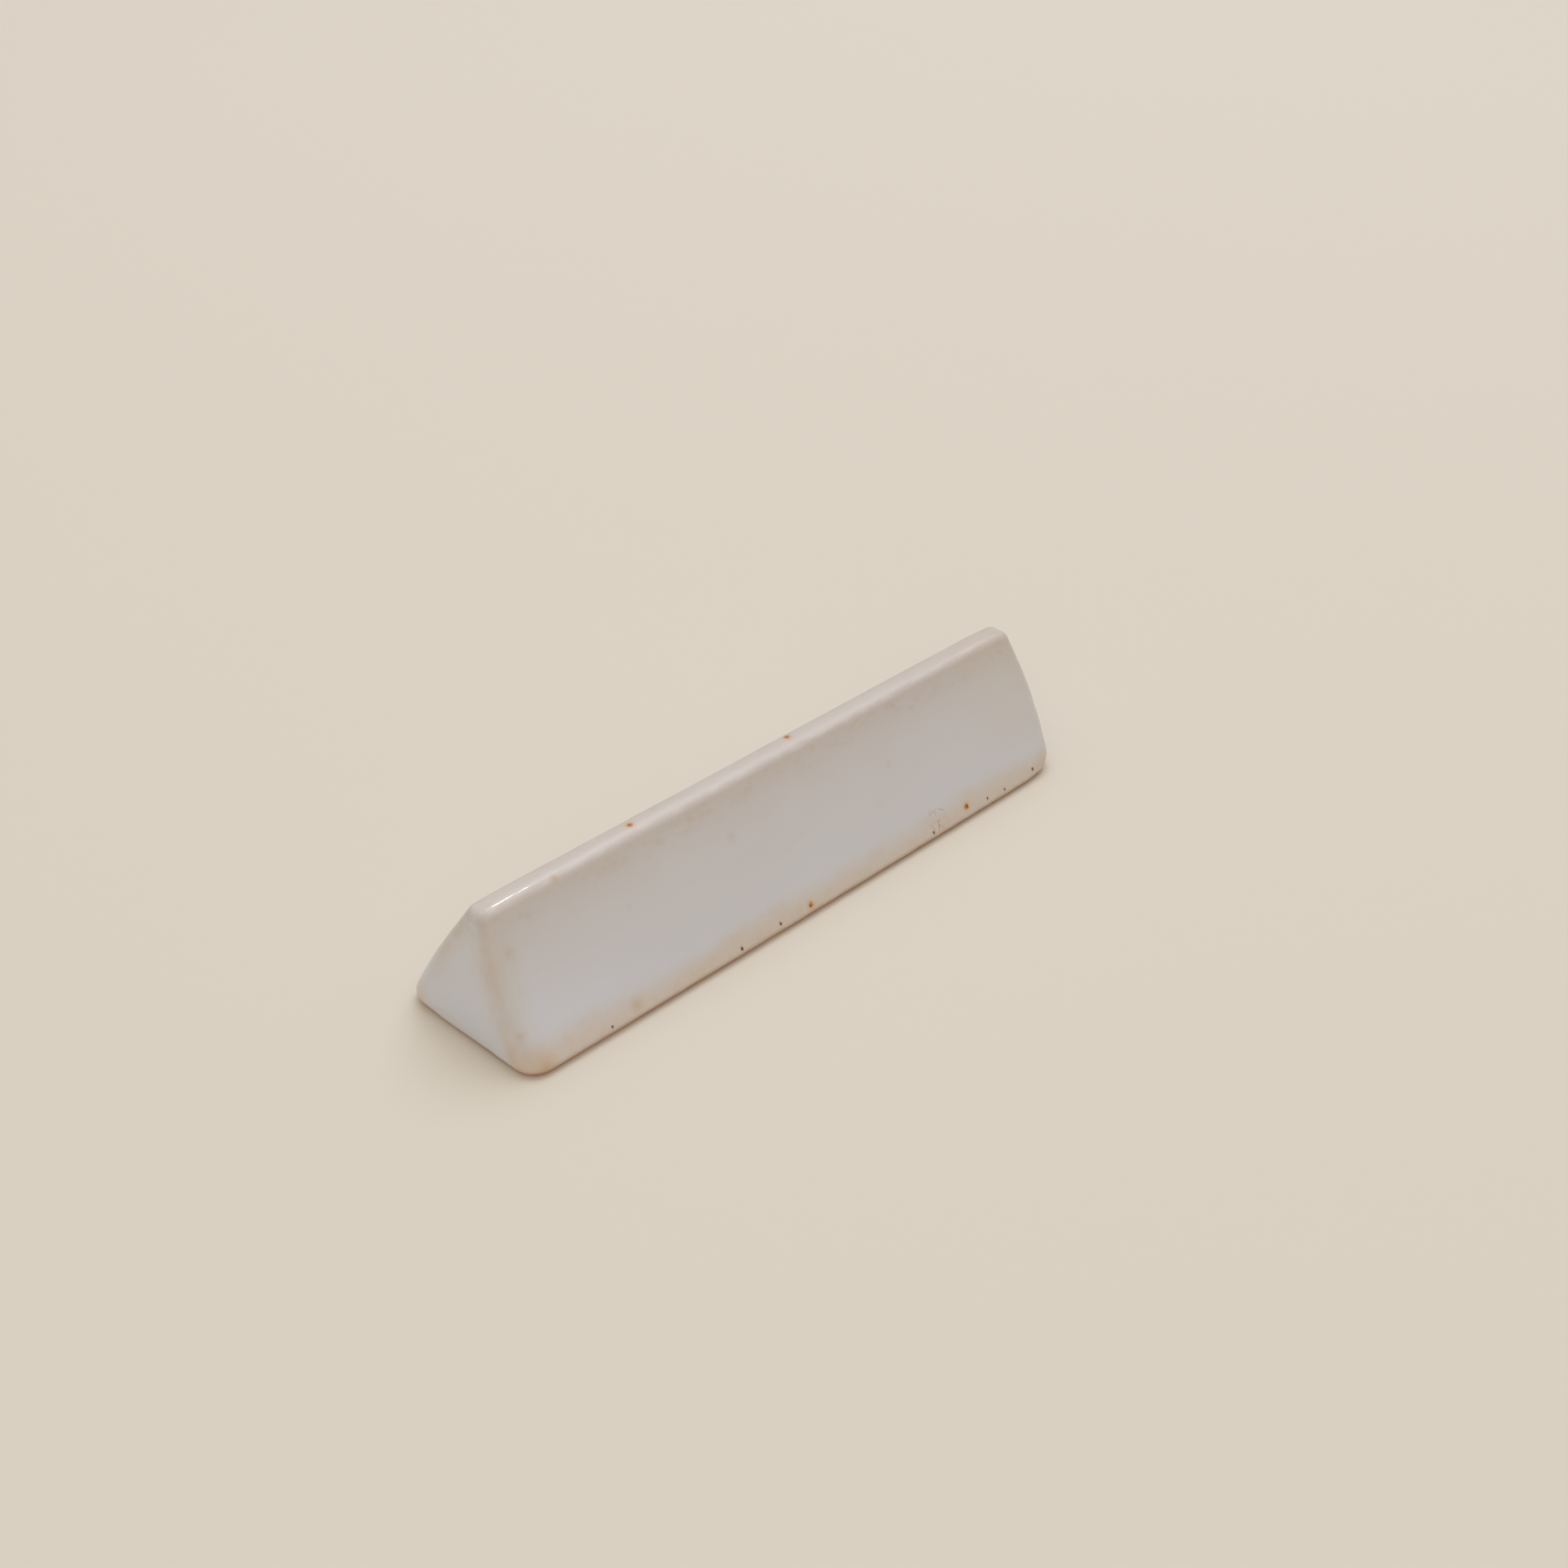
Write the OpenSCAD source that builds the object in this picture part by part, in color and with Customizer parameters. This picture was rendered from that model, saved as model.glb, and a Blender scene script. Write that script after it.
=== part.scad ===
// Triangular rest bar in glazed stoneware, of the kind that holds a knife or
// chopsticks off the table. A solid fired clay bar carries a glassy glaze skin
// on every side but its foot, and small iron specks sit in the glaze.
// The bar lies along X. Its foot stands on z = 0 and its ridge is on top.

/* [Bar] */
// Length of the bar, through the middle of its foot
length = 70; // [50:1:100]
// Width across the foot
width = 17.2; // [15:0.1:22]
// Height of the ridge above the table
height = 13.4; // [12:0.1:17]
// Plan radius of the two upright corners at the -X end, at the foot
left_corner_r = 2.2; // [1.6:0.1:3]
// Plan radius of the two upright corners at the +X end, at the foot
right_corner_r = 2.7; // [1.6:0.1:3]

/* [Ridge] */
// Width of the flat strip that runs along the ridge
ridge_flat = 0.9; // [0.4:0.1:2]
// Radius of the edges on each side of the strip
ridge_r = 1.1; // [0.7:0.05:1.4]
// How far the ridge sits in front of the middle, on the -Y side
ridge_shift = 0.1; // [0:0.05:0.5]

/* [Ends] */
// How far the -X end leans in between foot and ridge
left_lean = 1.7; // [0:0.1:2.5]
// How far the +X end leans in between foot and ridge
right_lean = 0.3; // [0:0.1:2.5]
// How far the back corner of the -X end reaches past its middle
left_skew = 0.25; // [0:0.05:0.5]
// How far the back corner of the +X end reaches past its middle
right_skew = 0.1; // [0:0.05:0.5]
// How far both ends swell at half their height
end_crown = 0.6; // [0:0.1:0.8]

/* [Glaze] */
// Thickness of the glaze skin
glaze_t = 0.4; // [0.3:0.05:0.5]
// Height of the glaze's lower edge above the table
glaze_line = 0.45; // [0.4:0.05:0.8]
// Rounding of that lower edge
rim_roll = 0.3; // [0.1:0.05:0.35]
// Bevel around the underside of the bare clay foot
foot_bevel = 0.3; // [0.1:0.05:0.35]

/* [Specks] */
// Radius of the largest rust speck
rust_r = 0.28; // [0.2:0.01:0.3]
// Radius of the largest dark speck
dark_r = 0.24; // [0.18:0.01:0.26]
// How far a speck stands proud of the glaze, as a share of its radius
speck_proud = 0.25; // [0.1:0.05:0.4]

/* [Hidden] */

body_colour = [0.72, 0.64, 0.55];
glaze_colour = [0.73, 0.71, 0.69];
rust_colour = [0.68, 0.38, 0.13];
dark_colour = [0.36, 0.26, 0.2];

// The slopes start at the top of the rounded lower edge of the glaze.
slope_z = glaze_line + rim_roll;
// Radius and height of the balls that swell the ends
crown_r = 1;
crown_z = slope_z + (height - slope_z) / 2;
// Thickness of the discs that the foot is stretched over
slice = 0.1;

// Specks on the slopes are [x, height, side, size], where side is -1 on the front
// slope and 1 on the back slope, and size is a share of the largest radius. Those
// on the ridge strip are [x, y, size].
rust_on_slopes = [
    [21, 1.5, -1, 1],
    [-1, 1.2, -1, 0.7],
    [-12, 9, 1, 0.8],
    [17, 1.4, 1, 0.7]
];
rust_on_ridge = [
    [-15.5, 0, 0.8],
    [4.5, 0.4, 0.65]
];
dark_on_slopes = [
    [-5, 1.2, -1, 0.9],
    [-10, 1.05, -1, 1],
    [16, 1.05, -1, 0.8],
    [24, 1.1, -1, 0.75],
    [26.5, 1.1, -1, 0.75],
    [31, 1.3, -1, 0.9],
    [-25.5, 1, -1, 0.7],
    [-27, 1.2, 1, 0.9],
    [5, 1, 1, 0.8],
    [26, 4.5, 1, 0.7]
];

// Distance from y = 0 to the middle of the ridge's rounding on one side.
function ridge_y(side) = ridge_flat / 2 - side * ridge_shift;

// Angle of a slope above the table: the line from the foot's edge that just
// touches the rounding of the ridge.
function slope_angle(side) =
    let (
        run = width / 2 - ridge_y(side),
        rise = height - ridge_r - slope_z
    )
    atan2(rise, run) + asin(ridge_r / norm([run, rise]));

// Distance of a slope from y = 0 at height z.
function slope_y(side, z) = width / 2 - (z - slope_z) / tan(slope_angle(side));

// Centre of a ball of radius r that stands out of a slope by r * speck_proud.
function speck_centre(x, z, side, r) =
    let (
        a = slope_angle(side),
        depth = r * (1 - speck_proud)
    )
    [x, side * (slope_y(side, z) - depth * sin(a)), z - depth * cos(a)];

// One upright corner of the foot, as a thin disc at height z. The two ends are
// cut a little out of square, so the back corners reach further out.
module foot_corner(end, side, z, inset) {
    skew = side * (end < 0 ? left_skew : right_skew);
    r = end < 0 ? left_corner_r : right_corner_r;
    translate([end * (length / 2 - r + skew), side * (width / 2 - r), z])
        cylinder(r = r - inset, h = slice, $fn = 32);
}

// The four foot corners at one height, pulled in by inset.
module foot_ring(z, inset) {
    for (end = [-1, 1])
        for (side = [-1, 1])
            foot_corner(end, side, z, inset);
}

// The rounded ends of the ridge strip, pulled in by inset.
module ridge_balls(inset) {
    for (end = [-1, 1])
        for (side = [-1, 1])
            translate([
                end * (length / 2 - ridge_r - (end < 0 ? left_lean : right_lean)),
                side * ridge_y(side),
                height - ridge_r
            ])
                sphere(r = ridge_r - inset, $fn = 32);
}

// Balls at half height that swell the ends, pulled in by inset.
module crown_balls(inset) {
    for (end = [-1, 1])
        for (side = [-1, 1])
            translate([
                end * (length / 2 - (end < 0 ? left_lean : right_lean) / 2 + end_crown - crown_r),
                side * (slope_y(side, crown_z) - crown_r / sin(slope_angle(side))),
                crown_z
            ])
                sphere(r = crown_r - inset, $fn = 32);
}

// Outside of the glazed bar, from the lower edge of the glaze to the ridge.
module glazed_form() {
    hull() {
        foot_ring(glaze_line, rim_roll);
        foot_ring(slope_z, 0);
        crown_balls(0);
        ridge_balls(0);
    }
}

// The clay bar inside the glaze, down to its bare foot.
module clay_form() {
    hull() {
        foot_ring(0, glaze_t + foot_bevel);
        foot_ring(foot_bevel, glaze_t);
        foot_ring(slope_z, glaze_t);
        crown_balls(glaze_t);
        ridge_balls(glaze_t);
    }
}

module slope_speck(place, largest) {
    r = largest * place[3];
    translate(speck_centre(place[0], place[1], place[2], r))
        sphere(r = r, $fn = 32);
}

module rust_balls() {
    for (place = rust_on_slopes)
        slope_speck(place, rust_r);
    for (place = rust_on_ridge) {
        r = rust_r * place[2];
        translate([place[0], place[1], height - r * (1 - speck_proud)])
            sphere(r = r, $fn = 32);
    }
}

module dark_balls() {
    for (place = dark_on_slopes)
        slope_speck(place, dark_r);
}

// Solid stoneware bar with the bare foot that it stands on.
module clay_body() {
    color(body_colour)
        clay_form();
}

// Glaze skin with a pocket for every speck that sits in it.
module glaze_coat() {
    color(glaze_colour)
        difference() {
            glazed_form();
            clay_form();
            rust_balls();
            dark_balls();
        }
}

// Rust-coloured iron spots.
module rust_specks() {
    color(rust_colour)
        rust_balls();
}

// Brown-black iron and manganese spots.
module dark_specks() {
    color(dark_colour)
        dark_balls();
}

clay_body();
glaze_coat();
rust_specks();
dark_specks();
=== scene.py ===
"""Looks of the glazed triangular rest bar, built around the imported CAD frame.

The glaze, the clay and the iron specks are each rebuilt as fine closed meshes on the
CAD model's own lengths, and painted with node materials that follow the way a glaze
thins over edges. Shape functions work in millimetres and are turned to metres last.
"""

import math

import bmesh
import bpy
import numpy as np
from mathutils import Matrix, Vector, noise


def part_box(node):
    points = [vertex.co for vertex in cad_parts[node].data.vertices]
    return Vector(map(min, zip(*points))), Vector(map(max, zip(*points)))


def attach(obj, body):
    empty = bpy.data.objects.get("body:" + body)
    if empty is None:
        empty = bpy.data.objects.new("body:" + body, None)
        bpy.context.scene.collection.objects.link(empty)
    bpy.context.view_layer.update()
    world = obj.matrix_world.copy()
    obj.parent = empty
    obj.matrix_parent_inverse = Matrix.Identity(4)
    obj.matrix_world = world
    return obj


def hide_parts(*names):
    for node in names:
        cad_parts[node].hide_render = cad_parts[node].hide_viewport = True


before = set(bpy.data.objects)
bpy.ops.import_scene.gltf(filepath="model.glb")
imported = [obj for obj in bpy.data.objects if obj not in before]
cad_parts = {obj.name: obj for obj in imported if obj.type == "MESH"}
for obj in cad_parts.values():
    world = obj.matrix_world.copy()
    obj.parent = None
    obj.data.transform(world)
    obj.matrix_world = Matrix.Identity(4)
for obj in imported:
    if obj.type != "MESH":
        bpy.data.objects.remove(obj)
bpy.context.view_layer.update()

MM = 0.001

# --- Driving sizes, in millimetres -------------------------------------------------

glaze_low, glaze_high = (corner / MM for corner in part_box("glaze_coat"))

# The frame gives these three. The sizes after them follow part.scad, which this
# script can't read, with some of them tuned to the photograph.
WIDTH = glaze_high.y - glaze_low.y
HEIGHT = glaze_high.z
RIM_Z = glaze_low.z

LENGTH = 70.0
# How far the back corner of each end reaches past the end's middle
SKEW_LEFT = 0.3
SKEW_RIGHT = 0.15
# Plan radius of the upright corners of each end, at the foot
CORNER_LEFT_R = 2.2
CORNER_RIGHT_R = 2.7
# The ridge: radius of its edges, half its flat strip, and how far it sits in front
RIDGE_R = 1.1
RIDGE_HALF_FLAT = 0.45
RIDGE_SHIFT = 0.1
# How far each end leans in between foot and ridge, and how far both swell
LEAN_LEFT = 1.7
LEAN_RIGHT = 0.3
END_CROWN = 0.6
# Rounding of the glaze's lower edge, thickness of the glaze, and the gap behind it
RIM_R = 0.33
GLAZE_T = 0.4
CLAY_GAP = 0.02
# How far a speck's ball stands out of the glaze, as a share of its radius
SPECK_PROUD = 0.25

# Heights where the ridge rounding and the straight wall start
BALL_Z = HEIGHT - RIDGE_R
WALL_Z = RIM_Z + RIM_R

# Shape that only the looks have. The long faces bow out in the middle of the bar.
# The bow eases in over BOW_EASE from the centre line, and fades out over BOW_FADE
# below the ridge rounding.
BOW = 0.1
BOW_EASE = 2.0
BOW_FADE = 4.0
# Past DROOP_X from the middle, the ends of the ridge sink by DROOP times the square
DROOP_X = 29.0
DROOP = 0.008
# How far the glaze's lower edge hangs down, and how unevenly
RIM_DROP = 0.18
RIM_WAVE = 0.10
# How far the middle of the ridge strip stands up
STRIP_CROWN = 0.02
# How far each upright corner is drawn in at the foot, and the height where that
# ends, by end (-1 left) and side (-1 front). It fades out over TUCK_REACH around it.
TUCKS = {
    (-1, -1): (0.10, 1.0),
    (-1, 1): (0.36, 1.5),
    (1, -1): (0.80, 1.6),
    (1, 1): (0.40, 1.5),
}
TUCK_REACH = 3.0

# --- Fineness of the meshes ----------------------------------------------------------

# Points along each long face, each end and each upright corner of a ring
LONG_STEPS = 350
SHORT_STEPS = 80
ARC_STEPS = 18
COLUMNS = 4 * ARC_STEPS + 2 * SHORT_STEPS + 2 * LONG_STEPS
# For each point of a ring, the point across from it on the other long side
OPPOSITE = (2 * ARC_STEPS + SHORT_STEPS - np.arange(COLUMNS)) % COLUMNS

# Rows of the glaze: its rounded lower edge, the wall in steps of LOW_STEP up to
# LOW_TOP, the rest of the wall, the rounding of the ridge, and the strip on top,
# whose rows are given as shares of its width.
ROLL_ROWS = 8
LOW_STEP = 0.12
LOW_TOP = 2.4
WALL_ROWS = 62
TOP_ROWS = 14
STRIP_ROWS = (0.8, 0.6, 0.4, 0.2, 0.0)

# Heights of the rows on the glaze's inside, above its lower edge
INNER_ROWS = (2.0, 5.0, 8.0, 11.0)

# Rows of the clay's foot as height and extra inset, then heights of its other rows
FOOT_ROWS = (
    (0.0, 0.10),
    (0.05, -0.02),
    (0.12, -0.10),
    (0.20, -0.10),
    (0.28, -0.02),
    (0.45, 0.0),
    (0.6, 0.0),
)
# Height whose outline the foot's lowest rows share
FOOT_OUTLINE_Z = RIM_Z + 0.3
CORE_ROWS = (3.0, 6.0, 9.0)
UNDERSIDE_ROWS = 30

# Points nearer than this are welded into one
WELD = 0.0001


# --- The bar's form ----------------------------------------------------------------

def tangent_angle(side):
    """Slope of one long face above the table, where it just touches the ridge rounding."""
    run = WIDTH / 2 - RIM_R - (RIDGE_HALF_FLAT - side * RIDGE_SHIFT)
    rise = BALL_Z - WALL_Z
    return math.atan2(rise, run) + math.asin((RIDGE_R - RIM_R) / math.hypot(run, rise))


SLOPE = {-1: tangent_angle(-1), 1: tangent_angle(1)}


def arc_reach(radius, rise):
    """How far an arc of this radius reaches out at a height of rise from its centre."""
    return math.sqrt(max(radius ** 2 - rise ** 2, 0.0))


def side_y(side, z):
    """Distance from y = 0 of a long face at height z, with the rim and ridge roundings."""
    angle = SLOPE[side]
    lean = math.pi / 2 - angle
    foot_y = WIDTH / 2 - RIM_R
    if z < WALL_Z + RIM_R * math.sin(lean):
        return foot_y + arc_reach(RIM_R, z - WALL_Z)
    if z > BALL_Z + RIDGE_R * math.sin(lean):
        return RIDGE_HALF_FLAT - side * RIDGE_SHIFT + arc_reach(RIDGE_R, z - BALL_Z)
    start = Vector((foot_y + RIM_R * math.cos(lean), WALL_Z + RIM_R * math.sin(lean)))
    return start.x - (z - start.y) / math.tan(angle)


def end_x(end, z):
    """Distance from x = 0 of one end at height z: a leaning wall with a slight crown."""
    lean = LEAN_LEFT if end < 0 else LEAN_RIGHT
    if z < WALL_Z:
        return LENGTH / 2 - RIM_R + arc_reach(RIM_R, z - WALL_Z)
    if z > BALL_Z:
        return LENGTH / 2 - lean - RIDGE_R + arc_reach(RIDGE_R, z - BALL_Z)
    share = (z - WALL_Z) / (BALL_Z - WALL_Z)
    return LENGTH / 2 - lean * share + END_CROWN * 4 * share * (1 - share)


def plan_radius(end, z):
    """Radius of the upright corners of one end at height z."""
    if z > BALL_Z:
        return arc_reach(RIDGE_R, z - BALL_Z)
    foot_r = CORNER_LEFT_R if end < 0 else CORNER_RIGHT_R
    if z < WALL_Z:
        return foot_r - RIM_R + arc_reach(RIM_R, z - WALL_Z)
    return foot_r + (RIDGE_R - foot_r) * (z - WALL_Z) / (BALL_Z - WALL_Z)


def corner_arcs(z, inset):
    """Centre, radius and first angle, in half turns, of each upright corner's arc.

    They go anticlockwise from the front right corner, seen from above.
    """
    front = -(side_y(-1, z) - inset)
    back = side_y(1, z) - inset
    left = -(end_x(-1, z) - inset)
    right = end_x(1, z) - inset
    r_left = max(plan_radius(-1, z) - inset, 0.0)
    r_right = max(plan_radius(1, z) - inset, 0.0)
    return (
        (right - r_right, front + r_right, r_right, -0.5),
        (right - r_right, back - r_right, r_right, 0.0),
        (left + r_left, back - r_left, r_left, 0.5),
        (left + r_left, front + r_left, r_left, 1.0),
    )


def walk_round(corners):
    """Points along the corner arcs and the straight sides between them."""
    points = []
    steps = (SHORT_STEPS, LONG_STEPS, SHORT_STEPS, LONG_STEPS)
    for k, (cx, cy, radius, turn) in enumerate(corners):
        for i in range(ARC_STEPS):
            angle = math.pi * (turn + 0.5 * i / ARC_STEPS)
            points.append((cx + radius * math.cos(angle), cy + radius * math.sin(angle)))
        angle = math.pi * (turn + 0.5)
        out = np.array((math.cos(angle), math.sin(angle)))
        next_x, next_y, next_r, _ = corners[(k + 1) % 4]
        start = (cx, cy) + radius * out
        stop = (next_x, next_y) + next_r * out
        for i in range(steps[k]):
            points.append(tuple(start + (stop - start) * i / steps[k]))
    return np.array(points)


def bow_faces(outline, z):
    """Bows the long faces of an outline out, less and less towards the ridge."""
    fading = min(max((BALL_Z - z) / BOW_FADE, 0), 1)
    bow = BOW * (1 - (outline[:, 0] / (LENGTH / 2)) ** 2) * fading
    y = outline[:, 1].copy()
    outline[:, 1] += bow * np.sign(y) * np.clip(np.abs(y) / BOW_EASE, 0, 1)


def skew_ends(outline):
    """Turns both ends of an outline a little out of square."""
    along = outline[:, 0] / LENGTH + 0.5
    skew = -SKEW_LEFT * (1 - along) + SKEW_RIGHT * along
    outline[:, 0] += skew * outline[:, 1] / (WIDTH / 2)


def tuck_corners(outline, corners, z):
    """Draws the upright corners of an outline in near the foot."""
    for cx, cy, radius, _ in corners:
        end = 1 if cx > 0 else -1
        side = 1 if cy > 0 else -1
        depth, top = TUCKS[(end, side)]
        diagonal = np.array((end, side)) * math.sqrt(0.5)
        gap = np.linalg.norm(outline - ((cx, cy) + diagonal * radius), axis=1)
        pull = depth * max(1 - z / top, 0.0) * np.exp(-(gap / TUCK_REACH) ** 2)
        outline -= pull[:, None] * diagonal


def ring(z, inset=0.0, squeeze=1.0):
    """Closed outline of the bar at height z, anticlockwise from the front right corner.

    inset pulls the outline in all round, and squeeze narrows it towards the ridge's
    centre line.
    """
    corners = corner_arcs(z, inset)
    outline = walk_round(corners)
    middle = (side_y(1, z) - side_y(-1, z)) / 2
    outline[:, 1] = middle + (outline[:, 1] - middle) * squeeze
    bow_faces(outline, z)
    skew_ends(outline)
    tuck_corners(outline, corners, z)
    past = np.clip(np.abs(outline[:, 0]) - DROOP_X, 0, None)
    heights = z - DROOP * past ** 2 * z / HEIGHT
    return np.column_stack((outline, heights))


def fold(row):
    """A ring closed up on its own middle line, where it can be welded shut."""
    return (row + row[OPPOSITE]) / 2


# --- Meshes ------------------------------------------------------------------------

def grid_faces(rows):
    """Quads of a closed band of rings, wound so that they face outwards."""
    r, c = np.meshgrid(np.arange(rows - 1), np.arange(COLUMNS), indexing="ij")
    a = r * COLUMNS + c
    b = r * COLUMNS + (c + 1) % COLUMNS
    return np.stack((a, b, b + COLUMNS, a + COLUMNS), axis=-1).reshape(-1, 4)


def grid_normals(grid):
    """Unit normals of a grid of rings, rows by columns by 3."""
    across = np.roll(grid, -1, axis=1) - np.roll(grid, 1, axis=1)
    up = np.gradient(grid, axis=0)
    normals = np.cross(across, up)
    sizes = np.linalg.norm(normals, axis=2, keepdims=True)
    return normals / np.maximum(sizes, 1e-9)


def add_object(name, mesh, material):
    """Puts a mesh into the scene, smooth all over and in one material."""
    mesh.polygons.foreach_set("use_smooth", [True] * len(mesh.polygons))
    mesh.materials.append(material)
    mesh.update()
    obj = bpy.data.objects.new(name, mesh)
    bpy.context.scene.collection.objects.link(obj)
    return obj


def banded_object(name, rings, material):
    """An object whose surface runs from each ring of points, in mm, to the next."""
    mesh = bpy.data.meshes.new(name)
    points = np.concatenate(rings) * MM
    mesh.from_pydata(points.tolist(), [], grid_faces(len(rings)).tolist())
    return add_object(name, mesh, material)


def close_mesh(obj):
    """Welds the seams where rings meet their own other side, and drops empty faces."""
    form = bmesh.new()
    form.from_mesh(obj.data)
    bmesh.ops.remove_doubles(form, verts=form.verts, dist=WELD * MM)
    bmesh.ops.dissolve_degenerate(form, edges=form.edges, dist=WELD * MM)
    bmesh.ops.recalc_face_normals(form, faces=form.faces)
    form.to_mesh(obj.data)
    form.free()


def wave(points, size, seed):
    """Smooth noise of -1 to 1 at each point, with features about size millimetres wide."""
    offset = Vector((seed * 17.3, seed * 5.9, seed * 11.1))
    return np.array([noise.noise(Vector(p) / size + offset) for p in points])


def add_attribute(mesh, name, values):
    """Stores one number per point on a mesh, for its material to read."""
    layer = mesh.attributes.new(name, "FLOAT", "POINT")
    layer.data.foreach_set("value", np.asarray(values, dtype=np.float32))


def islands(node):
    """Centre and radius, in millimetres, of each separate ball in a CAD node."""
    form = bmesh.new()
    form.from_mesh(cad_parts[node].data)
    bmesh.ops.remove_doubles(form, verts=form.verts, dist=WELD * MM)
    left = set(form.verts)
    found = []
    while left:
        stack = [left.pop()]
        group = []
        while stack:
            vert = stack.pop()
            group.append(vert.co / MM)
            for edge in vert.link_edges:
                other = edge.other_vert(vert)
                if other in left:
                    left.remove(other)
                    stack.append(other)
        low = Vector(min(p[i] for p in group) for i in range(3))
        high = Vector(max(p[i] for p in group) for i in range(3))
        found.append(((low + high) / 2, (high.z - low.z) / 2))
    form.free()
    return sorted(found, key=lambda ball: tuple(ball[0]))


# --- Node materials ----------------------------------------------------------------

class Graph:
    """A material's node tree, with short calls for the nodes used here."""

    def __init__(self, name):
        self.material = bpy.data.materials.new(name)
        self.material.use_nodes = True
        self.tree = self.material.node_tree
        self.shader = self.tree.nodes["Principled BSDF"]

    def put(self, socket, value):
        """Links a socket, or sets it to a plain value."""
        if isinstance(value, bpy.types.NodeSocket):
            self.tree.links.new(value, socket)
        elif value is not None:
            socket.default_value = value

    def set(self, **values):
        """Links or sets the shader's own sockets, with _ for each space in a name."""
        for name, value in values.items():
            self.put(self.shader.inputs[name.replace("_", " ")], value)

    def position(self):
        return self.tree.nodes.new("ShaderNodeTexCoord").outputs["Object"]

    def attribute(self, name):
        node = self.tree.nodes.new("ShaderNodeAttribute")
        node.attribute_name = name
        return node.outputs["Fac"]

    def math(self, operation, a, b=None, clamp=False):
        node = self.tree.nodes.new("ShaderNodeMath")
        node.operation = operation
        node.use_clamp = clamp
        self.put(node.inputs[0], a)
        self.put(node.inputs[1], b)
        return node.outputs[0]

    def times(self, a, b):
        return self.math("MULTIPLY", a, b)

    def nudge(self, value, swing, share=1.0):
        """Value plus a share of swing."""
        return self.math("ADD", value, self.times(swing, share))

    def noise(self, size_mm, detail=2.0, roughness=0.5, stretch=(1, 1, 1), seed=0.0):
        """Fractal noise of 0 to 1 with features about size_mm wide."""
        mapping = self.tree.nodes.new("ShaderNodeMapping")
        self.put(mapping.inputs["Vector"], self.position())
        mapping.inputs["Location"].default_value = (seed, seed * 0.7, seed * 1.3)
        mapping.inputs["Scale"].default_value = stretch
        node = self.tree.nodes.new("ShaderNodeTexNoise")
        self.put(node.inputs["Vector"], mapping.outputs["Vector"])
        node.inputs["Scale"].default_value = 1 / (size_mm * MM)
        node.inputs["Detail"].default_value = detail
        node.inputs["Roughness"].default_value = roughness
        return node.outputs["Fac"]

    def spread(self, noise_value, reach):
        """Noise of 0 to 1 turned into a swing about zero, reach wide in all."""
        return self.times(self.math("SUBTRACT", noise_value, 0.5), reach)

    def fade(self, value, start, stop, low=0.0, high=1.0):
        """Smooth change from low at start to high at stop, flat outside them."""
        node = self.tree.nodes.new("ShaderNodeMapRange")
        node.interpolation_type = "SMOOTHSTEP"
        self.put(node.inputs["Value"], value)
        limits = {"From Min": start, "From Max": stop, "To Min": low, "To Max": high}
        for name, number in limits.items():
            node.inputs[name].default_value = number
        return node.outputs["Result"]

    def peak(self, value, middle, half_width):
        """Soft hump of 1 at middle that falls to 0 at half_width on both sides."""
        gap = self.math("ABSOLUTE", self.math("SUBTRACT", value, middle))
        return self.fade(gap, half_width, 0.0)

    def ramp(self, value, stops):
        """Colour along value, from (value, colour) stops of rising value."""
        node = self.tree.nodes.new("ShaderNodeValToRGB")
        node.color_ramp.interpolation = "B_SPLINE"
        reach = stops[-1][0]
        self.put(node.inputs["Fac"], self.math("DIVIDE", value, reach))
        marks = node.color_ramp.elements
        while len(marks) < len(stops):
            marks.new(1.0)
        for mark, (place, colour) in zip(marks, stops):
            mark.position = place / reach
            mark.color = colour
        return node.outputs["Color"]

    def mix(self, share, a, b, blend="MIX"):
        node = self.tree.nodes.new("ShaderNodeMix")
        node.data_type = "RGBA"
        node.blend_type = blend
        self.put(node.inputs["Factor"], share)
        self.put(node.inputs[6], a)
        self.put(node.inputs[7], b)
        return node.outputs[2]

    def tint(self, share, base, factor):
        """Base colour times a red, green, blue factor, as far as share says."""
        return self.mix(share, base, (*factor, 1.0), "MULTIPLY")

    def bump(self, height, strength, distance_mm, below=None):
        """Normal for a height of 0 to 1, on top of the normal below if one is given."""
        node = self.tree.nodes.new("ShaderNodeBump")
        node.inputs["Strength"].default_value = strength
        node.inputs["Distance"].default_value = distance_mm * MM
        self.put(node.inputs["Height"], height)
        if below is not None:
            self.put(node.inputs["Normal"], below)
        return node.outputs["Normal"]


def srgb(r, g, b):
    """Scene colour of an sRGB value given as 0 to 255."""
    def linear(v):
        v = v / 255
        return v / 12.92 if v <= 0.04045 else ((v + 0.055) / 1.055) ** 2.4
    return (linear(r), linear(g), linear(b), 1.0)


# Colours by distance from the ridge in mm: the glaze on the long faces, and the glaze with
# painted light on the ends
SLOPE_COLOURS = (
    (0.0, srgb(203, 192, 184)),
    (0.8, srgb(203, 192, 184)),
    (1.7, srgb(207, 195, 187)),
    (2.4, srgb(206, 196, 190)),
    (4.0, srgb(209, 202, 199)),
    (7.0, srgb(212, 207, 206)),
    (10.0, srgb(213, 209, 209)),
    (13.0, srgb(213, 211, 213)),
)
# The ends are lighter than the long faces partly as painted light, making up for the lamps
# lighting them less, and bluer where their glaze lies thick.
END_COLOURS_WITH_PAINTED_LIGHT = (
    (0.0, srgb(203, 193, 186)),
    (2.0, srgb(216, 213, 214)),
    (4.5, srgb(221, 220, 225)),
    (9.0, srgb(222, 223, 230)),
    (14.0, srgb(225, 227, 235)),
)
POOLED_GLAZE = srgb(216, 215, 220)

# Noise that is drawn out along the bar
LENGTHWISE = (0.6, 1, 1)
STREAKED = (0.35, 1, 1)


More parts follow.
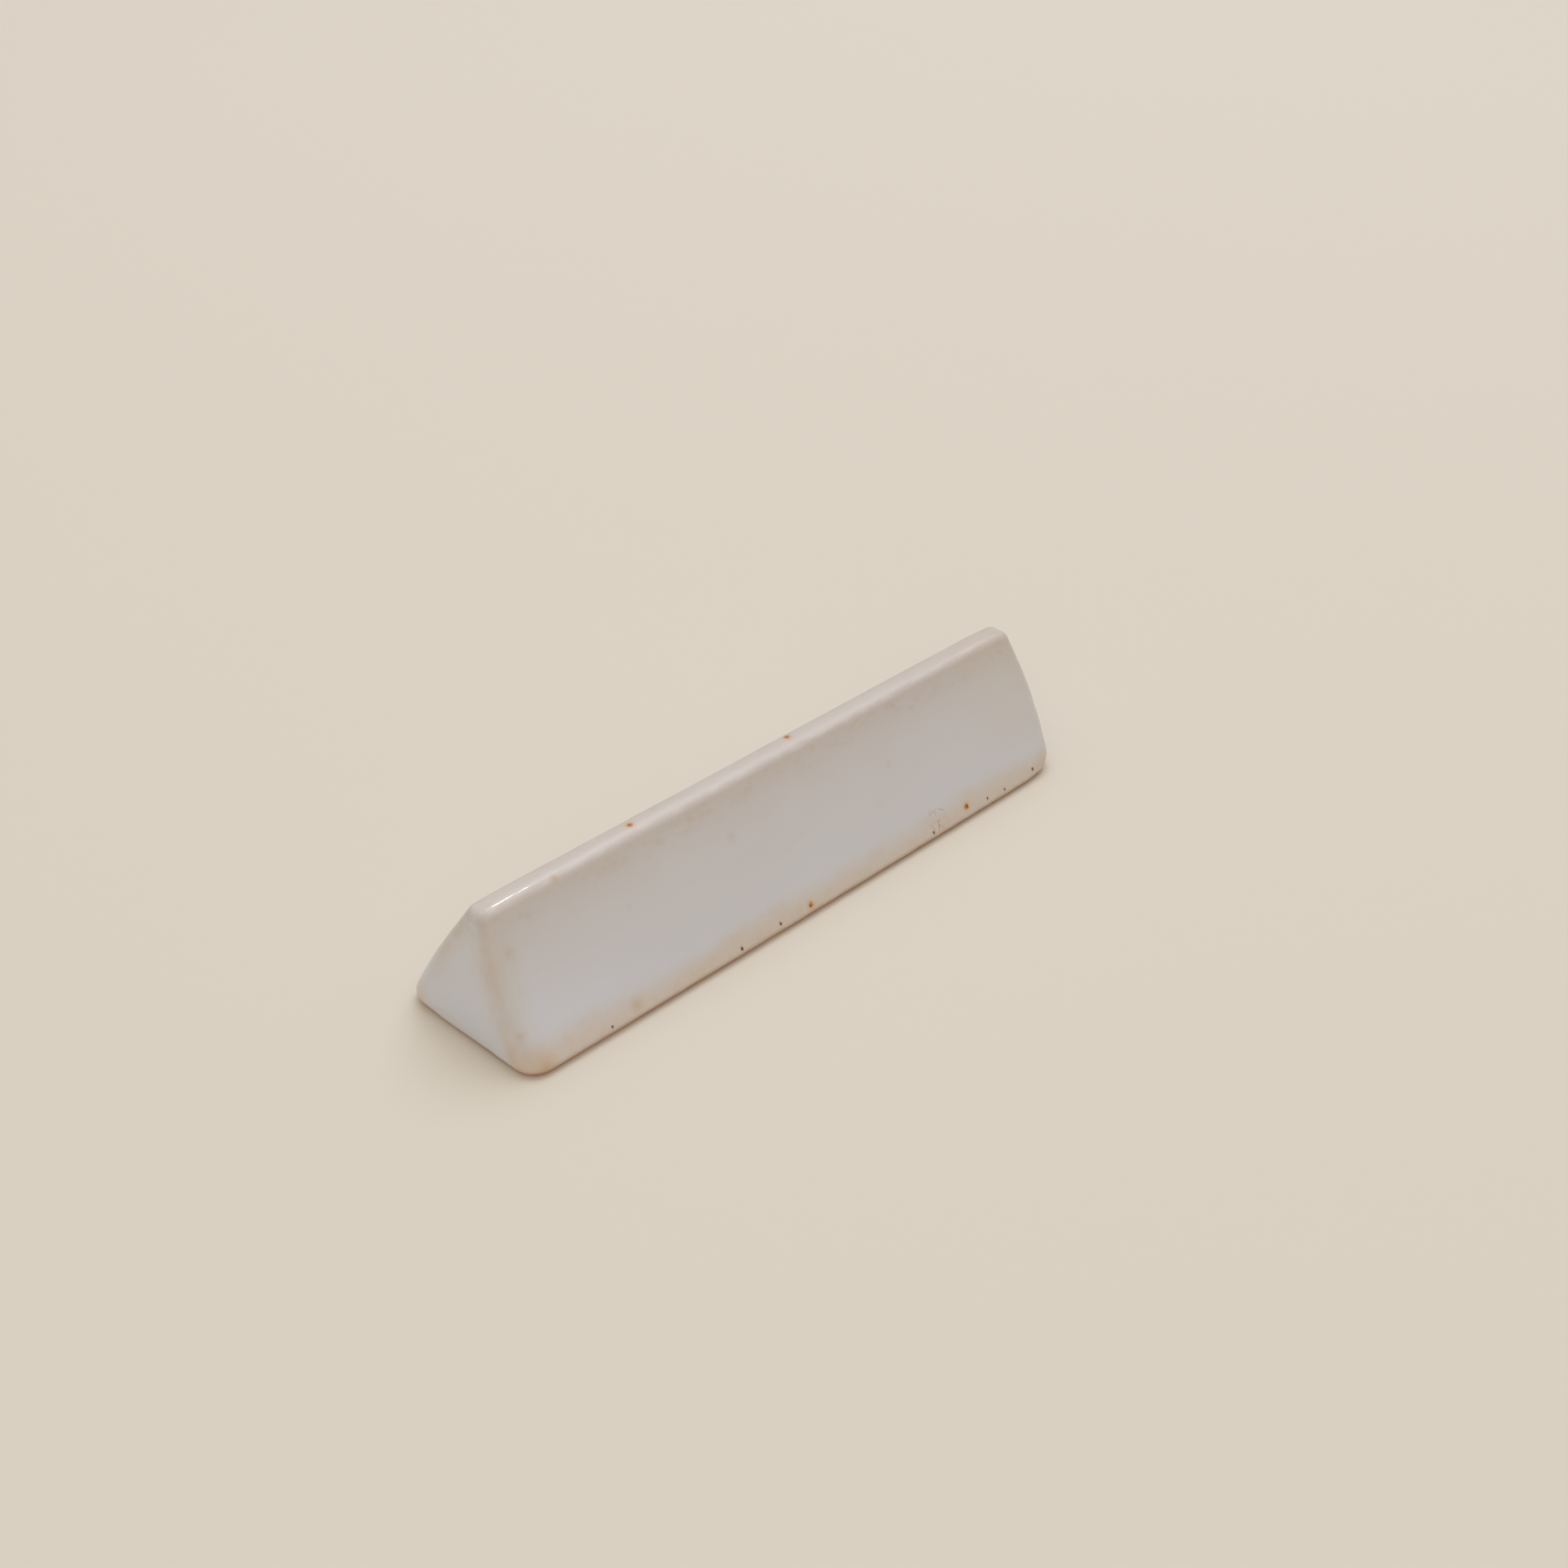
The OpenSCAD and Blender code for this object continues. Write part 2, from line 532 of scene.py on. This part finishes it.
def thick_glaze(g, drift):
    """The glaze away from its edges: blue-grey, and bluest where it has pooled."""
    crest = g.attribute("crest_mm")
    corner = g.attribute("corner_mm")
    along = g.attribute("along_mm")
    slope = g.ramp(g.nudge(crest, drift, 0.5), SLOPE_COLOURS)
    pooled = g.times(g.fade(along, -8.0, -33.0), g.fade(crest, 7.0, 12.5))
    slope = g.mix(pooled, slope, POOLED_GLAZE)
    far = g.times(g.fade(along, 22.0, 31.0), g.fade(g.attribute("foot_mm"), 2.0, 6.5))
    slope = g.tint(far, slope, (1.0, 0.978, 0.94))
    # On the ends the colour holds painted light as well as the glaze's own colour.
    body = g.mix(g.fade(corner, 0.3, -1.6), slope, g.ramp(crest, END_COLOURS_WITH_PAINTED_LIGHT))
    cloud = g.fade(g.noise(5.0, 1.5, 0.4, LENGTHWISE, 3.1), 0.25, 0.75)
    return g.tint(g.times(cloud, 0.5), body, (0.985, 0.96, 0.955))


def corner_breaks(g, body, drift, slow):
    """Tan breaks along the upright corners, fainter near the ridge and at the back."""
    corner = g.attribute("corner_mm")
    wander = g.nudge(corner, drift, 0.5)
    below_ridge = g.fade(g.attribute("crest_mm"), 1.0, 5.5, 0.05, 1.0)
    in_front = g.fade(g.attribute("across_mm"), 2.0, 6.0, 1.0, 0.3)
    off_far_end = g.fade(g.attribute("along_mm"), 28.0, 33.0, 1.0, 0.35)
    worn = g.times(g.times(below_ridge, in_front), off_far_end)
    patchy = g.times(worn, g.fade(g.noise(1.6, 4, 0.6, seed=7.0), 0.3, 0.62, 0.45, 1.0))
    body = g.tint(g.times(g.peak(wander, -0.9, 1.7), patchy), body, (0.965, 0.905, 0.83))
    wide = g.peak(g.nudge(corner, slow, 0.3), -1.4, 3.4)
    body = g.tint(g.times(wide, worn), body, (0.99, 0.96, 0.925))
    return g.tint(g.times(g.peak(wander, 0.9, 2.2), patchy), body, (0.98, 0.945, 0.90))


def foot_band(g, body, drift, slow, fine):
    """Tan band above the foot, with a soft wandering upper edge and a darker rim."""
    foot = g.attribute("foot_mm")
    uneven = g.math("ADD", g.times(drift, 0.3), g.times(fine, 0.5))
    edge = g.math("ADD", g.math("ADD", foot, slow), uneven)
    on_end = g.fade(g.attribute("corner_mm"), -1.0, -3.0)
    band = g.math("SUBTRACT", g.fade(edge, 3.6, 0.9), g.times(on_end, 0.85), clamp=True)
    body = g.tint(band, body, (1.005, 0.885, 0.745))
    rosy = g.fade(g.noise(1.6, 3, 0.6, seed=9.0), 0.45, 0.7)
    body = g.tint(g.times(rosy, band), body, (0.985, 0.945, 0.91))
    return g.tint(g.fade(g.nudge(foot, fine, 0.4), 0.85, 0.2), body, (0.95, 0.85, 0.77))


def ridge_painted_glints_and_blotches(g, body, drift):
    """Painted highlight in pale streaks on the edges of the ridge strip, and tan blotches of
    thin glaze just below them.
    """
    crest = g.attribute("crest_mm")
    painted_glint = g.fade(g.noise(0.8, 3, 0.6, STREAKED, 15.0), 0.46, 0.6)
    glint_line = g.peak(g.nudge(crest, drift, 0.2), 1.05, 0.55)
    # Painted highlight: the pale streaks stand in for the gloss breaking up along the strip's
    # front edge.
    body = g.tint(g.times(painted_glint, glint_line), body, (1.07, 1.08, 1.09))
    blotch = g.fade(g.noise(0.9, 3, 0.6, LENGTHWISE, 6.0), 0.48, 0.72)
    return g.tint(g.times(blotch, g.peak(crest, 2.4, 1.8)), body, (0.96, 0.91, 0.86))


def crackle_lines(g):
    """Share of 1 on the hairline cracks of the glaze, which show in two patches only."""
    swirl = g.tree.nodes.new("ShaderNodeTexNoise")
    g.put(swirl.inputs["Vector"], g.position())
    swirl.inputs["Scale"].default_value = 1 / (0.8 * MM)
    shift = g.tree.nodes.new("ShaderNodeVectorMath")
    shift.operation = "MULTIPLY_ADD"
    g.put(shift.inputs[0], swirl.outputs["Color"])
    shift.inputs[1].default_value = (0.6 * MM,) * 3
    g.put(shift.inputs[2], g.position())
    cells = g.tree.nodes.new("ShaderNodeTexVoronoi")
    cells.feature = "DISTANCE_TO_EDGE"
    cells.inputs["Scale"].default_value = 1 / (1.25 * MM)
    g.put(cells.inputs["Vector"], shift.outputs["Vector"])
    hairline = g.fade(cells.outputs["Distance"], 0.05, 0.015)
    kept = g.fade(g.noise(0.9, 2, 0.5, seed=13.0), 0.42, 0.56)
    patch = g.fade(g.attribute("crackle_mm"), 1.6, 0.8)
    return g.times(hairline, g.times(kept, patch))


def speck_halos(g, body):
    """Rust that has bled into the glaze round each rust speck, and brown round the dark specks,
    partly painted shade round the pinholes.
    """
    soft = g.spread(g.noise(0.4, 2), 0.25)
    seep = g.math("ADD", g.attribute("rust_mm"), soft)
    body = g.tint(g.fade(seep, 0.9, 0.3, 0.0, 0.5), body, (0.97, 0.80, 0.62))
    body = g.mix(g.fade(seep, 0.42, 0.2, 0.0, 0.85), body, srgb(190, 122, 52))
    # Round the pinholes the brown is partly painted shade.
    shade = g.math("ADD", g.attribute("dark_mm"), soft)
    return g.tint(g.fade(shade, 0.40, 0.08, 0.0, 0.45), body, (0.80, 0.66, 0.54))


def glaze_material():
    """Pale glaze, bluer where it lies thick and tan where it runs thin over an edge."""
    g = Graph("glaze")
    drift = g.spread(g.noise(3.0, 3, 0.55), 3.0)
    slow = g.spread(g.noise(6.0, 3, 0.5, LENGTHWISE, 4.0), 2.6)
    fine = g.spread(g.noise(0.7, 4, 0.65, seed=2.0), 1.3)
    body = thick_glaze(g, drift)
    body = corner_breaks(g, body, drift, slow)
    body = foot_band(g, body, drift, slow, fine)
    body = ridge_painted_glints_and_blotches(g, body, drift)
    stain = g.fade(g.nudge(g.attribute("stain"), fine, 0.10), 0.0, 0.9)
    body = g.tint(stain, body, (0.91, 0.78, 0.61))
    crackle = crackle_lines(g)
    body = g.tint(g.times(crackle, 0.9), body, (0.72, 0.57, 0.46))
    body = speck_halos(g, body)

    satin = g.fade(g.noise(2.0, 3, 0.5, seed=11.0), 0.3, 0.7, 0.29, 0.35)
    peel = g.bump(g.noise(0.9, 2, 0.5), 0.15, 0.012)
    sunk = g.math("SUBTRACT", 1.0, crackle)
    g.set(Base_Color=body, Roughness=satin, Specular_IOR_Level=0.12)
    g.set(Normal=g.bump(sunk, 0.5, 0.02, peel))
    g.set(Coat_Weight=0.25, Coat_Roughness=0.055, Coat_Normal=peel)
    return g.material


def clay_material():
    """Bare fired stoneware: warm buff, gritty and matt."""
    g = Graph("clay")
    grain = g.noise(0.35, 5, 0.65)
    warmth = g.fade(g.noise(6.0, 3, 0.55, seed=5.0), 0.35, 0.65)
    colour = g.mix(warmth, srgb(224, 176, 150), srgb(208, 158, 132))
    colour = g.mix(g.fade(grain, 0.60, 0.72, 0.0, 0.6), colour, srgb(128, 100, 76))
    colour = g.mix(g.fade(grain, 0.40, 0.30, 0.0, 0.5), colour, srgb(212, 196, 174))
    g.set(Base_Color=colour, Roughness=0.85, Normal=g.bump(grain, 0.6, 0.05))
    return g.material


def speck_material(name, core, rim, roughness):
    """Iron melted into the glaze: a dark heart that thins to a lighter rim. For the pinholes the
    dark is partly painted shade.
    """
    g = Graph(name)
    mottle = g.spread(g.noise(0.12, 3, 0.6), 0.5)
    outwards = g.math("ADD", g.attribute("heart"), mottle)
    g.set(Base_Color=g.mix(g.fade(outwards, 0.3, 0.9), core, rim), Roughness=roughness)
    return g.material


# --- Marks on the glaze --------------------------------------------------------------

RUST = islands("rust_specks")
DARK = islands("dark_specks")

# Faint tan stains in the glaze: x, height, side (-1 front), reach in mm, strength
STAINS = (
    (-25.3, 13.2, -1, 0.68, 0.77),
    (-12.2, 13.4, 1, 0.6, 0.42),
    (-10.0, 12.3, -1, 0.9, 0.42),
    (-6.5, 9.3, -1, 0.9, 0.38),
    (13.7, 8.2, -1, 0.75, 0.34),
    (10.9, 5.4, -1, 0.75, 0.21),
    (22.8, 7.4, -1, 0.75, 0.21),
    (-19.4, 8.5, -1, 0.6, 0.3),
    (-32.0, 10.0, -1, 0.9, 0.47),
    (-34.1, 3.9, -1, 0.75, 0.51),
    (-22.5, 1.6, -1, 1.2, 0.68),
    (-33.0, 1.0, -1, 1.6, 0.77),
    (-20.0, 9.0, 1, 0.75, 0.42),
    (-3.0, 6.5, 1, 0.9, 0.34),
    (8.5, 11.2, 1, 0.75, 0.42),
    (21.0, 8.0, 1, 0.6, 0.34),
    (31.5, 2.0, 1, 1.2, 0.59),
    (-14.0, 1.5, 1, 1.2, 0.59),
)
# Middles of the two patches of crackle: x, height, side
CRACKED = ((17.0, 1.9, -1), (-8.0, 2.2, 1))


def surface_point(ball):
    """Where a speck's ball meets the glaze, and the glaze's outward direction there."""
    centre, radius = ball
    if centre.z > BALL_Z:
        out = Vector((0, 0, 1))
    else:
        side = -1 if centre.y < 0 else 1
        out = Vector((0, side * math.sin(SLOPE[side]), math.cos(SLOPE[side])))
    return centre + out * radius * (1 - SPECK_PROUD), out


def nearest_point(points, place):
    """The one of the points that is nearest to a place."""
    return points[np.argmin(np.linalg.norm(points - place, axis=1))]


def on_glaze(points, x, height, side):
    """The mesh point nearest to a place given by x, height and side."""
    y = side * side_y(side, min(height, HEIGHT - 0.01))
    return nearest_point(points, np.array((x, y, height)))


def gap_to(points, spots):
    """Distance from each point to the nearest of the spots."""
    return np.min([np.linalg.norm(points - spot, axis=1) for spot in spots], axis=0)


def stain_share(points):
    """How deep each point lies in a stain: its strength at the middle, 0 at its reach."""
    share = np.zeros(len(points))
    for x, height, side, reach, strength in STAINS:
        gap = gap_to(points, [on_glaze(points, x, height, side)])
        share = np.maximum(share, strength * np.clip(1 - gap / reach, 0, 1))
    return share


# --- Pieces ------------------------------------------------------------------------

def arc_heights(centre, radius, first, last, count):
    """Heights of count points on an arc, from angle first to angle last in degrees."""
    return [centre + radius * math.sin(math.radians(a)) for a in np.linspace(first, last, count)]


def glaze_rings():
    """Rings of the glaze from its lower edge to the closed middle of the ridge strip."""
    roll = arc_heights(WALL_Z, RIM_R, -90, 20, ROLL_ROWS)
    low = np.arange(roll[-1] + 0.1, LOW_TOP, LOW_STEP)
    wall = np.linspace(LOW_TOP, BALL_Z, WALL_ROWS)
    top = arc_heights(BALL_Z, RIDGE_R, 6, 90, TOP_ROWS)
    rows = [ring(z) for z in (*roll, *low, *wall, *top)]
    for squeeze in STRIP_ROWS:
        row = ring(HEIGHT, 0.0, squeeze)
        row[:, 0] *= 1 - (1 - squeeze) * RIDGE_HALF_FLAT / (LENGTH / 2)
        row[:, 2] += STRIP_CROWN * (1 - squeeze ** 2)
        rows.append(row)
    rows[-1] = fold(rows[-1])
    return np.array(rows)


def corner_gaps(grid):
    """Distance along its ring from each point to the nearest corner, negative on the ends."""
    steps = np.linalg.norm(np.roll(grid, -1, axis=1) - grid, axis=2)
    walk = np.concatenate((np.zeros((len(grid), 1)), np.cumsum(steps, axis=1)), axis=1)
    around = walk[:, -1:]
    sign = np.ones(COLUMNS)
    gaps = []
    start = 0
    for kind, steps_after in ((-1, SHORT_STEPS), (1, LONG_STEPS)) * 2:
        middle = start + ARC_STEPS // 2
        gap = np.abs(walk[:, :-1] - walk[:, middle][:, None])
        gaps.append(np.minimum(gap, around - gap))
        sign[middle:] = kind
        start += ARC_STEPS + steps_after
    return np.min(gaps, axis=0) * sign


def glaze_relief(points, foot, crest, corner):
    """How far each point swells out: soft waves, which are finer towards the edges."""
    near_rim = np.exp(-foot / 1.2)
    near_crest = np.exp(-crest / 1.6)
    near_corner = np.exp(-np.abs(corner) / 1.2)
    # Depth, width and seed of each wave
    waves = (
        (0.03, 11.0, 1),
        (0.010, 3.5, 2),
        (np.maximum(0.012 * near_crest, 0.045 * near_corner), 2.2, 3),
        (0.010 * near_crest, 0.9, 8),
        (0.035 * near_rim, 1.3, 4),
        (0.012 * near_rim, 0.5, 5),
    )
    return sum(depth * wave(points, size, seed) for depth, size, seed in waves)


def build_glaze(material):
    """The glaze skin: its outside, lower edge and inside, as one closed form."""
    grid = glaze_rings()
    normals = grid_normals(grid)
    normals[-len(STRIP_ROWS) - 1:] = (0, 0, 1)
    foot = np.zeros(grid.shape[:2])
    foot[1:] = np.cumsum(np.linalg.norm(np.diff(grid, axis=0), axis=2), axis=0)
    crest = (foot[-1] - foot).ravel()
    foot = foot.ravel()
    corner = corner_gaps(grid).ravel()

    outside = grid.reshape(-1, 3)
    push = glaze_relief(outside, foot, crest, corner)
    outside = outside + normals.reshape(-1, 3) * push[:, None]
    hang = RIM_DROP + RIM_WAVE * wave(outside * (1, 1, 0), 2.5, 6)
    outside[:, 2] -= np.exp(-foot / 0.5) * hang

    inside = [ring(z, GLAZE_T) for z in (RIM_Z + 0.02, *INNER_ROWS, BALL_Z)]
    inside.append(fold(ring(BALL_Z + 0.3, GLAZE_T)))
    rings = [*inside[::-1], *outside.reshape(grid.shape)]
    obj = banded_object("glaze_skin", rings, material)

    points = np.concatenate(rings)
    pad = np.zeros(len(inside) * COLUMNS)
    values = {
        "foot_mm": np.concatenate((pad, foot)),
        "crest_mm": np.concatenate((pad, crest)),
        "corner_mm": np.concatenate((pad, corner)),
        "along_mm": points[:, 0],
        "across_mm": points[:, 1],
        "stain": stain_share(points),
        "crackle_mm": gap_to(points, [on_glaze(points, *place) for place in CRACKED]),
        "rust_mm": gap_to(points, [surface_point(ball)[0] for ball in RUST]),
        "dark_mm": gap_to(points, [surface_point(ball)[0] for ball in DARK]),
    }
    for name, numbers in values.items():
        add_attribute(obj.data, name, numbers)
    close_mesh(obj)
    return obj


glaze = build_glaze(glaze_material())
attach(glaze, "root")
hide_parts("glaze_coat")


def build_clay(material):
    """The bare foot and the hidden core, as one closed form."""
    inset = GLAZE_T + CLAY_GAP
    rows = []
    for z, extra in FOOT_ROWS:
        row = ring(max(z, FOOT_OUTLINE_Z), inset + extra)
        row[:, 2] = z
        rows.append(row)
    rows += [ring(z, inset) for z in (*CORE_ROWS, BALL_Z - 0.2)]
    rows.append(fold(ring(BALL_Z, inset)))
    underside = []
    for share in np.linspace(0.0, 0.97, UNDERSIDE_ROWS):
        row = rows[0].copy()
        row[:, 1] *= share
        row[:, 0] *= 1 - (1 - share) * (WIDTH / LENGTH)
        underside.append(row)
    underside[0] = fold(underside[0])
    obj = banded_object("clay_core", underside + rows, material)
    close_mesh(obj)
    return obj


clay = build_clay(clay_material())
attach(clay, "root")
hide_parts("clay_body")

# A grain's size next to its CAD ball, its three widths, and how lumpy it is
GRAIN_SIZE = 0.75
GRAIN_SHAPE = (0.8, 1.1, 0.16)
GRAIN_LUMPS = 0.35


def build_specks(name, balls, material, seed):
    """Flattened irregular grains, each standing a little proud of the glaze."""
    skin = np.array([vert.co for vert in glaze.data.vertices]) / MM
    form = bmesh.new()
    heart = form.verts.layers.float.new("heart")
    for number, ball in enumerate(balls):
        spot, out = surface_point(ball)
        place = Vector(nearest_point(skin, np.array(spot)))
        turn = out.to_track_quat("Z", "Y").to_matrix()
        made = bmesh.ops.create_icosphere(form, subdivisions=4, radius=1.0)
        for vert in made["verts"]:
            way = vert.co.copy()
            lumpy = 1 + GRAIN_LUMPS * noise.noise(way * 1.4 + Vector((seed, number * 3.7, 0)))
            local = way * Vector(GRAIN_SHAPE) * lumpy
            vert.co = (place + turn @ (local * ball[1] * GRAIN_SIZE)) * MM
            vert[heart] = min(math.hypot(way.x, way.y), 1.0)
    mesh = bpy.data.meshes.new(name)
    form.to_mesh(mesh)
    form.free()
    return add_object(name, mesh, material)


rust_iron = speck_material("rust_iron", srgb(132, 66, 18), srgb(190, 122, 48), 0.2)
rust = build_specks("rust_grains", RUST, rust_iron, 1.0)
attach(rust, "root")
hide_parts("rust_specks")

# The dark grains stand for pinholes: their dark brown is partly the pits' painted shade.
dark_iron = speck_material("dark_iron", srgb(84, 62, 48), srgb(140, 108, 84), 0.35)
dark = build_specks("dark_grains", DARK, dark_iron, 7.0)
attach(dark, "root")
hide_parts("dark_specks")


# --- Floor, lights and camera --------------------------------------------------------

FLOOR_COLOUR = srgb(220, 210, 196)
FLOOR_SIZE = 6.0
# Distance from the bar, in metres, over which the floor turns into the backdrop
FLOOR_FADE = (0.25, 0.6)
# Colour of the room, and its brightness straight overhead and at the horizon
ROOM_COLOUR = (1.022, 0.985, 0.88, 1.0)
ROOM_OVERHEAD = 0.94
ROOM_HORIZON = 0.05

CAMERA_AZIMUTH = -44.29
CAMERA_ELEVATION = 34.77
CAMERA_DISTANCE = 0.2301
CAMERA_AIM = Vector((0.01234, 0.00881, 0.0))
CAMERA_LENS = 51.8


def build_floor():
    """Pale sheet under the bar, which turns into the plain backdrop far from it."""
    bpy.ops.mesh.primitive_plane_add(size=FLOOR_SIZE, location=(0, 0, 0))
    floor = bpy.context.object
    floor.name = "floor"
    g = Graph("pale_paper")
    g.set(Base_Color=FLOOR_COLOUR, Roughness=0.9, Specular_IOR_Level=0.0)
    reach = g.tree.nodes.new("ShaderNodeVectorMath")
    reach.operation = "LENGTH"
    g.put(reach.inputs[0], g.position())
    glow = g.tree.nodes.new("ShaderNodeEmission")
    glow.inputs["Color"].default_value = FLOOR_COLOUR
    choose = g.tree.nodes.new("ShaderNodeMixShader")
    g.put(choose.inputs["Fac"], g.fade(reach.outputs["Value"], *FLOOR_FADE))
    g.put(choose.inputs[1], g.shader.outputs[0])
    g.put(choose.inputs[2], glow.outputs[0])
    g.put(g.tree.nodes["Material Output"].inputs["Surface"], choose.outputs[0])
    floor.data.materials.append(g.material)


def build_room():
    """Soft light from all round, brightest overhead, behind a plain backdrop."""
    world = bpy.data.worlds.new("soft_room")
    bpy.context.scene.world = world
    world.use_nodes = True
    tree = world.node_tree
    sky = tree.nodes["Background"]
    sky.inputs["Color"].default_value = ROOM_COLOUR
    way = tree.nodes.new("ShaderNodeTexCoord")
    split = tree.nodes.new("ShaderNodeSeparateXYZ")
    tree.links.new(way.outputs["Generated"], split.inputs["Vector"])
    rise = tree.nodes.new("ShaderNodeMath")
    rise.operation = "MULTIPLY_ADD"
    tree.links.new(split.outputs["Z"], rise.inputs[0])
    rise.inputs[1].default_value = ROOM_OVERHEAD
    rise.inputs[2].default_value = ROOM_HORIZON
    least = tree.nodes.new("ShaderNodeMath")
    least.operation = "MAXIMUM"
    tree.links.new(rise.outputs[0], least.inputs[0])
    least.inputs[1].default_value = ROOM_HORIZON
    tree.links.new(least.outputs[0], sky.inputs["Strength"])

    backdrop = tree.nodes.new("ShaderNodeBackground")
    backdrop.inputs["Color"].default_value = FLOOR_COLOUR
    seen = tree.nodes.new("ShaderNodeLightPath")
    choose = tree.nodes.new("ShaderNodeMixShader")
    tree.links.new(seen.outputs["Is Camera Ray"], choose.inputs["Fac"])
    tree.links.new(sky.outputs[0], choose.inputs[1])
    tree.links.new(backdrop.outputs[0], choose.inputs[2])
    tree.links.new(choose.outputs[0], tree.nodes["World Output"].inputs["Surface"])


def add_lamp(name, direction, distance, size, power, colour):
    """A round lamp that shines on the bar from one direction, sizes in metres."""
    lamp = bpy.data.lights.new(name, "AREA")
    lamp.shape = "DISK"
    lamp.size = size
    lamp.energy = power
    lamp.color = colour
    obj = bpy.data.objects.new(name, lamp)
    way = Vector(direction).normalized()
    obj.location = way * distance
    obj.rotation_mode = "QUATERNION"
    obj.rotation_quaternion = way.to_track_quat("Z", "Y")
    bpy.context.scene.collection.objects.link(obj)
    return obj


def build_lights():
    """A big soft key from behind, a fill from the front left, and a small gloss lamp."""
    add_lamp("soft_box", (0.389, 0.234, 0.891), 1.0, 0.97, 3.75, (0.89, 1.0, 1.27))
    add_lamp("fill", (-0.589, -0.569, 0.574), 1.0, 0.73, 1.0, (1.0, 0.99, 0.97))
    sparkle = add_lamp("sparkle", (0.374, 0.423, 0.825), 0.6, 0.06, 0.80, (1.0, 1.0, 1.0))
    sparkle.visible_diffuse = False


def build_camera():
    """The photograph's own viewpoint."""
    a, e = math.radians(CAMERA_AZIMUTH), math.radians(CAMERA_ELEVATION)
    back = Vector((math.sin(a) * math.cos(e), -math.cos(a) * math.cos(e), math.sin(e)))
    data = bpy.data.cameras.new("camera")
    data.lens = CAMERA_LENS
    data.clip_start = 0.01
    camera = bpy.data.objects.new("camera", data)
    camera.location = CAMERA_AIM + back * CAMERA_DISTANCE
    camera.rotation_mode = "QUATERNION"
    camera.rotation_quaternion = (-back).to_track_quat("-Z", "Y")
    bpy.context.scene.collection.objects.link(camera)
    bpy.context.scene.camera = camera


build_floor()
build_room()
build_lights()
build_camera()
bpy.context.scene.view_settings.view_transform = "Standard"
